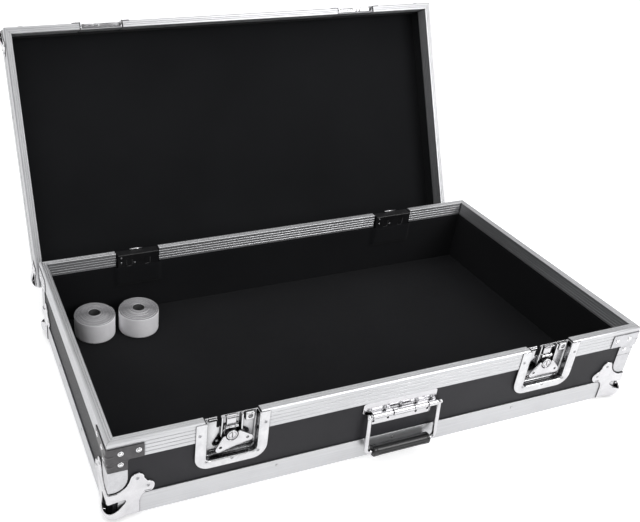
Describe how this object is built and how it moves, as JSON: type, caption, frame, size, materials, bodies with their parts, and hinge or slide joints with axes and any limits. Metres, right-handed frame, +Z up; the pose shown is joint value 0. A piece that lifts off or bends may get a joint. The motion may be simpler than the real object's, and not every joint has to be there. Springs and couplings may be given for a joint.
{
  "type": "pedalboard case",
  "caption": "Hinged pedalboard flight case, standing open: aluminium-edged tray with carpet lining, recessed butterfly latches, sprung handle and ball corners.",
  "frame": {"origin": "on the ground, at the middle of the open case's footprint", "axes": "+X to the right of somebody facing the latches and the handle, +Y towards the hinges and the open lid, +Z up; metres, the lid open at its stops"},
  "size_m": [1.016, 0.879, 0.5604],
  "materials": {
    "aluminium_extrusion": "ribbed, satin anodised",
    "laminate_board": "plywood faced with a black hexagonally textured laminate",
    "chrome_steel": "bright plated pressed steel",
    "zinc_steel": "dull zinc-plated pressed steel",
    "black_steel": "black painted steel",
    "carpet": "black loop-faced carpet",
    "felt": "black felt over thin foam",
    "rubber_grip": "moulded black rubber",
    "hook_loop_tape": "wound tape with its pale backing outwards"
  },
  "bodies": {
    "base": {"base_ball_corner_back_left": "chrome_steel", "base_ball_corner_back_right": "chrome_steel", "base_ball_corner_front_left": "chrome_steel", "base_ball_corner_front_right": "chrome_steel", "base_carpet_lining": "carpet", "base_corner_brace_back_left": "zinc_steel", "base_corner_brace_back_right": "zinc_steel", "base_corner_brace_front_left": "zinc_steel", "base_corner_brace_front_right": "zinc_steel", "base_edge_angle_back": "aluminium_extrusion", "base_edge_angle_front": "aluminium_extrusion", "base_edge_angle_left": "aluminium_extrusion", "base_edge_angle_right": "aluminium_extrusion", "base_floor_panel": "laminate_board", "base_rim_back_left": "aluminium_extrusion", "base_rim_back_middle": "aluminium_extrusion", "base_rim_back_right": "aluminium_extrusion", "base_rim_front_left": "aluminium_extrusion", "base_rim_front_middle": "aluminium_extrusion", "base_rim_front_right": "aluminium_extrusion", "base_rim_left": "aluminium_extrusion", "base_rim_right": "aluminium_extrusion", "base_side_boards": "laminate_board", "handle_plate": "chrome_steel", "hinge_box_left": "black_steel", "hinge_box_right": "black_steel", "latch_dish_left": "chrome_steel", "latch_dish_right": "chrome_steel"},
    "lid": {"hinge_leaf_left": "zinc_steel", "hinge_leaf_right": "zinc_steel", "lid_ball_corner_back_left": "chrome_steel", "lid_ball_corner_back_right": "chrome_steel", "lid_ball_corner_front_left": "chrome_steel", "lid_ball_corner_front_right": "chrome_steel", "lid_edge_angle_back": "aluminium_extrusion", "lid_edge_angle_front": "aluminium_extrusion", "lid_edge_angle_left": "aluminium_extrusion", "lid_edge_angle_right": "aluminium_extrusion", "lid_felt_lining": "felt", "lid_latch_dish_left": "chrome_steel", "lid_latch_dish_right": "chrome_steel", "lid_rim_back": "aluminium_extrusion", "lid_rim_front_left": "aluminium_extrusion", "lid_rim_front_middle": "aluminium_extrusion", "lid_rim_front_right": "aluminium_extrusion", "lid_rim_left": "aluminium_extrusion", "lid_rim_right": "aluminium_extrusion", "lid_side_boards": "laminate_board", "lid_top_panel": "laminate_board"},
    "latch_cam_left": {"latch_cam_left": "chrome_steel"},
    "latch_wing_left": {"latch_wing_left": "chrome_steel"},
    "latch_hook_left": {"latch_hook_left": "chrome_steel"},
    "latch_cam_right": {"latch_cam_right": "chrome_steel"},
    "latch_wing_right": {"latch_wing_right": "chrome_steel"},
    "latch_hook_right": {"latch_hook_right": "chrome_steel"},
    "handle": {"handle_bail": "chrome_steel", "handle_grip": "rubber_grip"},
    "tape_roll_left": {"tape_roll_left": "hook_loop_tape"},
    "tape_roll_right": {"tape_roll_right": "hook_loop_tape"}
  },
  "joints": [
    {"name": "lid_hinge", "type": "hinge", "parent": "base", "child": "lid", "pos_m": [0, 0.1023, 0.1125], "axis": [-1, 0, 0], "range_deg": [-115.5, 0]},
    {"name": "latch_turn_left", "type": "hinge", "parent": "base", "child": "latch_cam_left", "pos_m": [-0.3, -0.4177, 0.1255], "axis": [0, -1, 0], "range_deg": [-13.5, 166.5]},
    {"name": "latch_flip_left", "type": "hinge", "parent": "latch_cam_left", "child": "latch_wing_left", "pos_m": [-0.3, -0.4155, 0.1255], "axis": [-0.9724, 0, -0.2334], "range_deg": [0, 100]},
    {"name": "latch_draw_left", "type": "slide", "parent": "base", "child": "latch_hook_left", "axis": [0, 0, 1], "range_m": [-0.00067, 0.00832]},
    {"name": "latch_turn_right", "type": "hinge", "parent": "base", "child": "latch_cam_right", "pos_m": [0.3, -0.4177, 0.1255], "axis": [0, 1, 0], "range_deg": [0, 180]},
    {"name": "latch_flip_right", "type": "hinge", "parent": "latch_cam_right", "child": "latch_wing_right", "pos_m": [0.3, -0.4155, 0.1255], "axis": [-1, 0, 0], "range_deg": [0, 100]},
    {"name": "latch_draw_right", "type": "slide", "parent": "base", "child": "latch_hook_right", "axis": [0, 0, 1], "range_m": [0, 0.009]},
    {"name": "handle_swing", "type": "hinge", "parent": "base", "child": "handle", "pos_m": [0, -0.4227, 0.1015], "axis": [-1, 0, 0], "range_deg": [0, 90], "stiffness_Nm_per_rad": 0.5},
    {"name": "roll_lift_left", "type": "slide", "parent": "base", "child": "tape_roll_left", "axis": [0, 0, 1], "range_m": [0, 0.13]},
    {"name": "roll_lift_right", "type": "slide", "parent": "base", "child": "tape_roll_right", "axis": [0, 0, 1], "range_m": [0, 0.13]}
  ],
  "couplings": [
    {"joint": "latch_turn_left", "follows": "latch_draw_left", "rad_per_m": 349.06},
    {"joint": "latch_turn_right", "follows": "latch_draw_right", "rad_per_m": 349.06}
  ]
}
